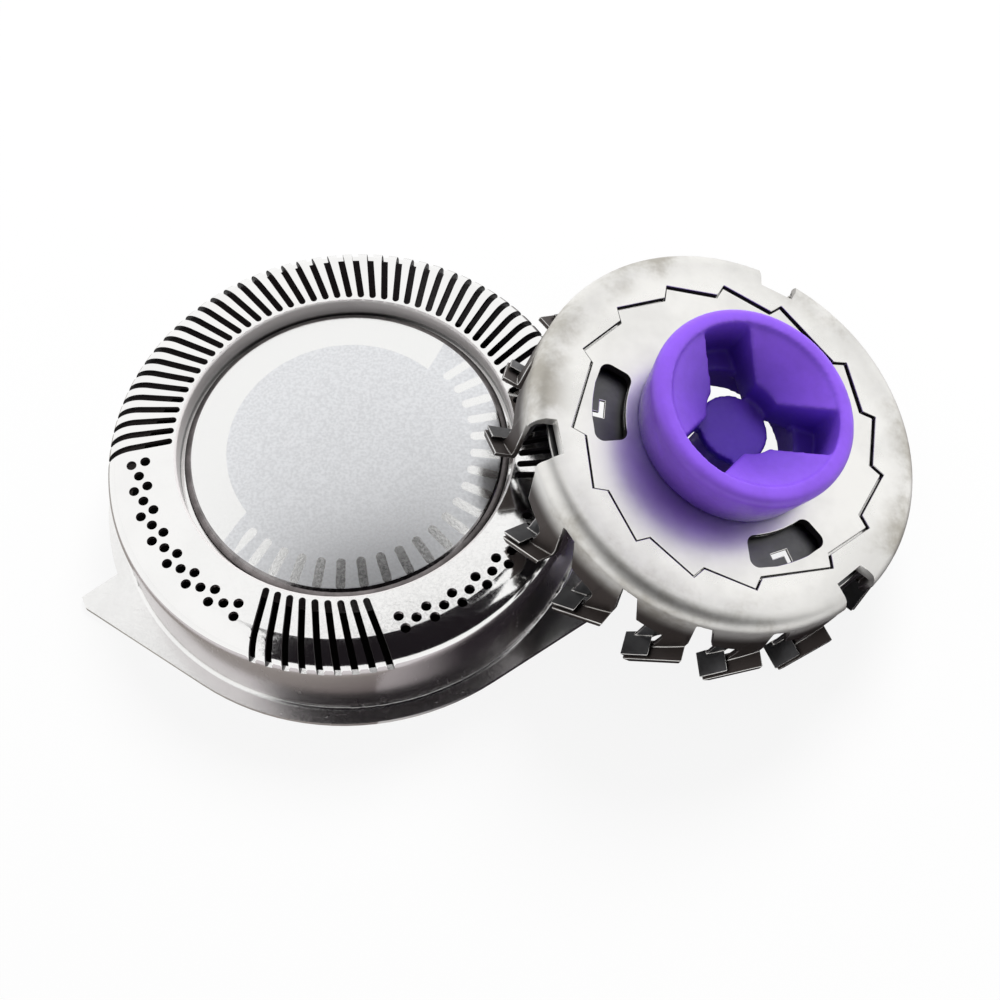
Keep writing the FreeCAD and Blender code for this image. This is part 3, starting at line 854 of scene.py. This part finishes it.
def make_sky(settings):
    world = bpy.data.worlds.new("soft studio")
    world.use_nodes = True
    tree = world.node_tree
    tree.nodes.clear()
    pure = opaque((1, 1, 1))
    soft = node(tree, "ShaderNodeBackground", {"Color": pure, "Strength": settings.sky})
    white = node(tree, "ShaderNodeBackground", {"Color": pure, "Strength": 1.0})
    mix = node(tree, "ShaderNodeMixShader",
               {0: seen_directly(tree), 1: soft.outputs[0], 2: white.outputs[0]})
    node(tree, "ShaderNodeOutputWorld", {"Surface": mix.outputs[0]})
    bpy.context.scene.world = world


def make_key_lamp(power):
    lamp = bpy.data.lights.new("key", "AREA")
    lamp.shape = "DISK"
    lamp.size = KEY_SIZE
    lamp.energy = power
    made = bpy.data.objects.new("key", lamp)
    made.location = KEY_PLACE
    made.rotation_euler = (Vector(KEY_AIM) - Vector(KEY_PLACE)).to_track_quat("-Z", "Y").to_euler()
    made.visible_glossy = False
    bpy.context.scene.collection.objects.link(made)


def make_camera():
    camera = bpy.data.cameras.new("camera")
    camera.lens = CAMERA_LENS
    camera.sensor_width = CAMERA_WIDTH
    camera.sensor_fit = "HORIZONTAL"
    camera.clip_start = 1 * MM
    camera.clip_end = 10
    made = bpy.data.objects.new("camera", camera)
    made.location = CAMERA_PLACE
    made.rotation_euler = Euler([math.radians(a) for a in CAMERA_TURN])
    bpy.context.scene.collection.objects.link(made)
    bpy.context.scene.camera = made


class StageOperator(bpy.types.Operator):
    """Floor, cards, soft light and camera"""
    bl_idname = "shaver.stage"
    bl_label = "Stage"

    def execute(self, context):
        settings = context.scene.shaver_stage
        make_floor(settings)
        make_cards()
        make_unlit_floor()
        make_sky(settings)
        make_key_lamp(settings.key_power)
        make_camera()
        context.scene.view_settings.view_transform = "Standard"
        return {"FINISHED"}


class ShaverPanel(bpy.types.Panel):
    bl_idname = "VIEW3D_PT_shaver_head"
    bl_label = "Shaver Head"
    bl_space_type = "VIEW_3D"
    bl_region_type = "UI"
    bl_category = "Shaver Head"

    def draw(self, context):
        for title, group, operator in PANEL_ROWS:
            box = self.layout.box()
            box.label(text=title)
            settings = getattr(context.scene, group)
            for name in settings.__annotations__:
                box.prop(settings, name)
            box.operator(operator)


PANEL_ROWS = (
    ("Stage", "shaver_stage", "shaver.stage"),
    ("Guard", "shaver_guard", "shaver.guard"),
    ("Cap", "shaver_cap", "shaver.cap"),
    ("Cutter", "shaver_cutter", "shaver.cutter"),
    ("Hub", "shaver_hub", "shaver.hub"),
)
GROUPS = {
    "shaver_guard": GuardSettings,
    "shaver_cap": CapSettings,
    "shaver_cutter": CutterSettings,
    "shaver_hub": HubSettings,
    "shaver_stage": StageSettings,
}
CLASSES = (*GROUPS.values(), StageOperator, GuardOperator, CapOperator, CutterOperator, HubOperator,
           ShaverPanel)


def register():
    for item in CLASSES:
        bpy.utils.register_class(item)
    for name, group in GROUPS.items():
        setattr(bpy.types.Scene, name, PointerProperty(type=group))


def unregister():
    for name in GROUPS:
        delattr(bpy.types.Scene, name)
    for item in reversed(CLASSES):
        bpy.utils.unregister_class(item)


def main():
    register()
    bpy.ops.shaver.stage()
    bpy.ops.shaver.guard()
    bpy.ops.shaver.cap()
    bpy.ops.shaver.cutter()
    bpy.ops.shaver.hub()


if __name__ == "__main__":
    main()
